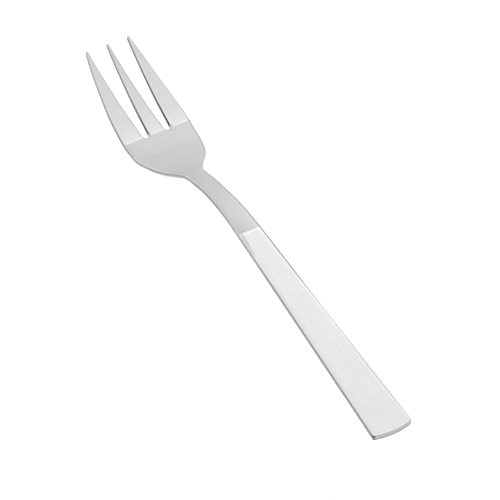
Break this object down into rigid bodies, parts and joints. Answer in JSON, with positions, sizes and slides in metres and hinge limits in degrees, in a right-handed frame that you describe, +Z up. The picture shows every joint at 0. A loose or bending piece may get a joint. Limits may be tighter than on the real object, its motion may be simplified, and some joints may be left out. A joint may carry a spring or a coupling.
{
  "type": "pastry fork",
  "caption": "Slim stainless pastry fork with a flat flared handle, a bent neck, a scooped head and tapered tines, for eating cake.",
  "frame": {"origin": "centre of the fork's plan outline, on the surface it lies on: the handle's end edge and the underside of the scoop both touch it", "axes": "+Y from the handle's end to the tine tips, +X to the right-hand tine seen from above with the tips pointing away, +Z up"},
  "size_m": [0.0202, 0.1514, 0.0127],
  "materials": {
    "coined_steel": "fine lengthwise brushing on flat coined faces",
    "satin_steel": "even tumbled satin"
  },
  "bodies": {
    "root": {"handle": "coined_steel", "neck": "satin_steel", "head": "satin_steel", "left_tine": "coined_steel", "middle_tine": "coined_steel", "right_tine": "coined_steel"}
  },
  "joints": []
}
